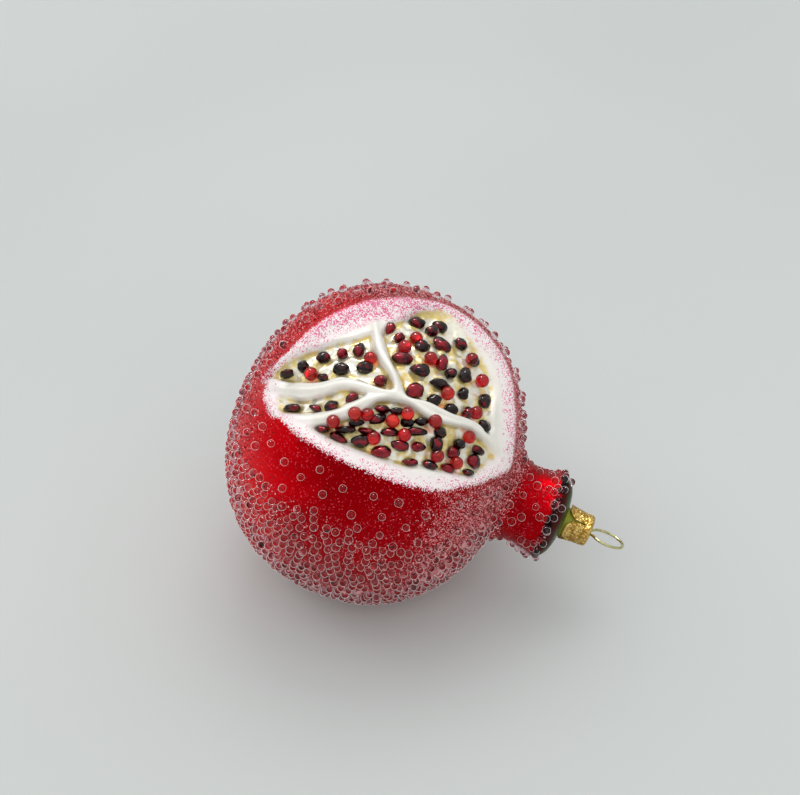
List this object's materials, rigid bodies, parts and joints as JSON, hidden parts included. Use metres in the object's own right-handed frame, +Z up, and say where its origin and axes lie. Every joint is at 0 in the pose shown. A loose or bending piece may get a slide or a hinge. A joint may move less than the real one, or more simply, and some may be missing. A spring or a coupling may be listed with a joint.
{
  "type": "pomegranate glass ornament",
  "caption": "Blown glass hanging ornament shaped like an opened pomegranate, with a sunken window of seeds, glued beads, a metal cap and a wire loop.",
  "frame": {"origin": "on the table, on the flat spot under the middle of the ball", "axes": "+Z up, +X level along the fruit's axis towards the crown and the wire loop, +Y away from the side the window is rolled to"},
  "size_m": [0.1121, 0.0898, 0.0861],
  "materials": {
    "glass_bulb": "red lacquered and glittered glass, with pearl ridges, silver cells and glued beads in its window",
    "metal_cap": "bright gold, finely crinkled",
    "wire_hanger": "bright pale gold"
  },
  "bodies": {
    "root": {"glass_bulb": "glass_bulb", "metal_cap": "metal_cap", "wire_hanger": "wire_hanger"}
  },
  "joints": []
}
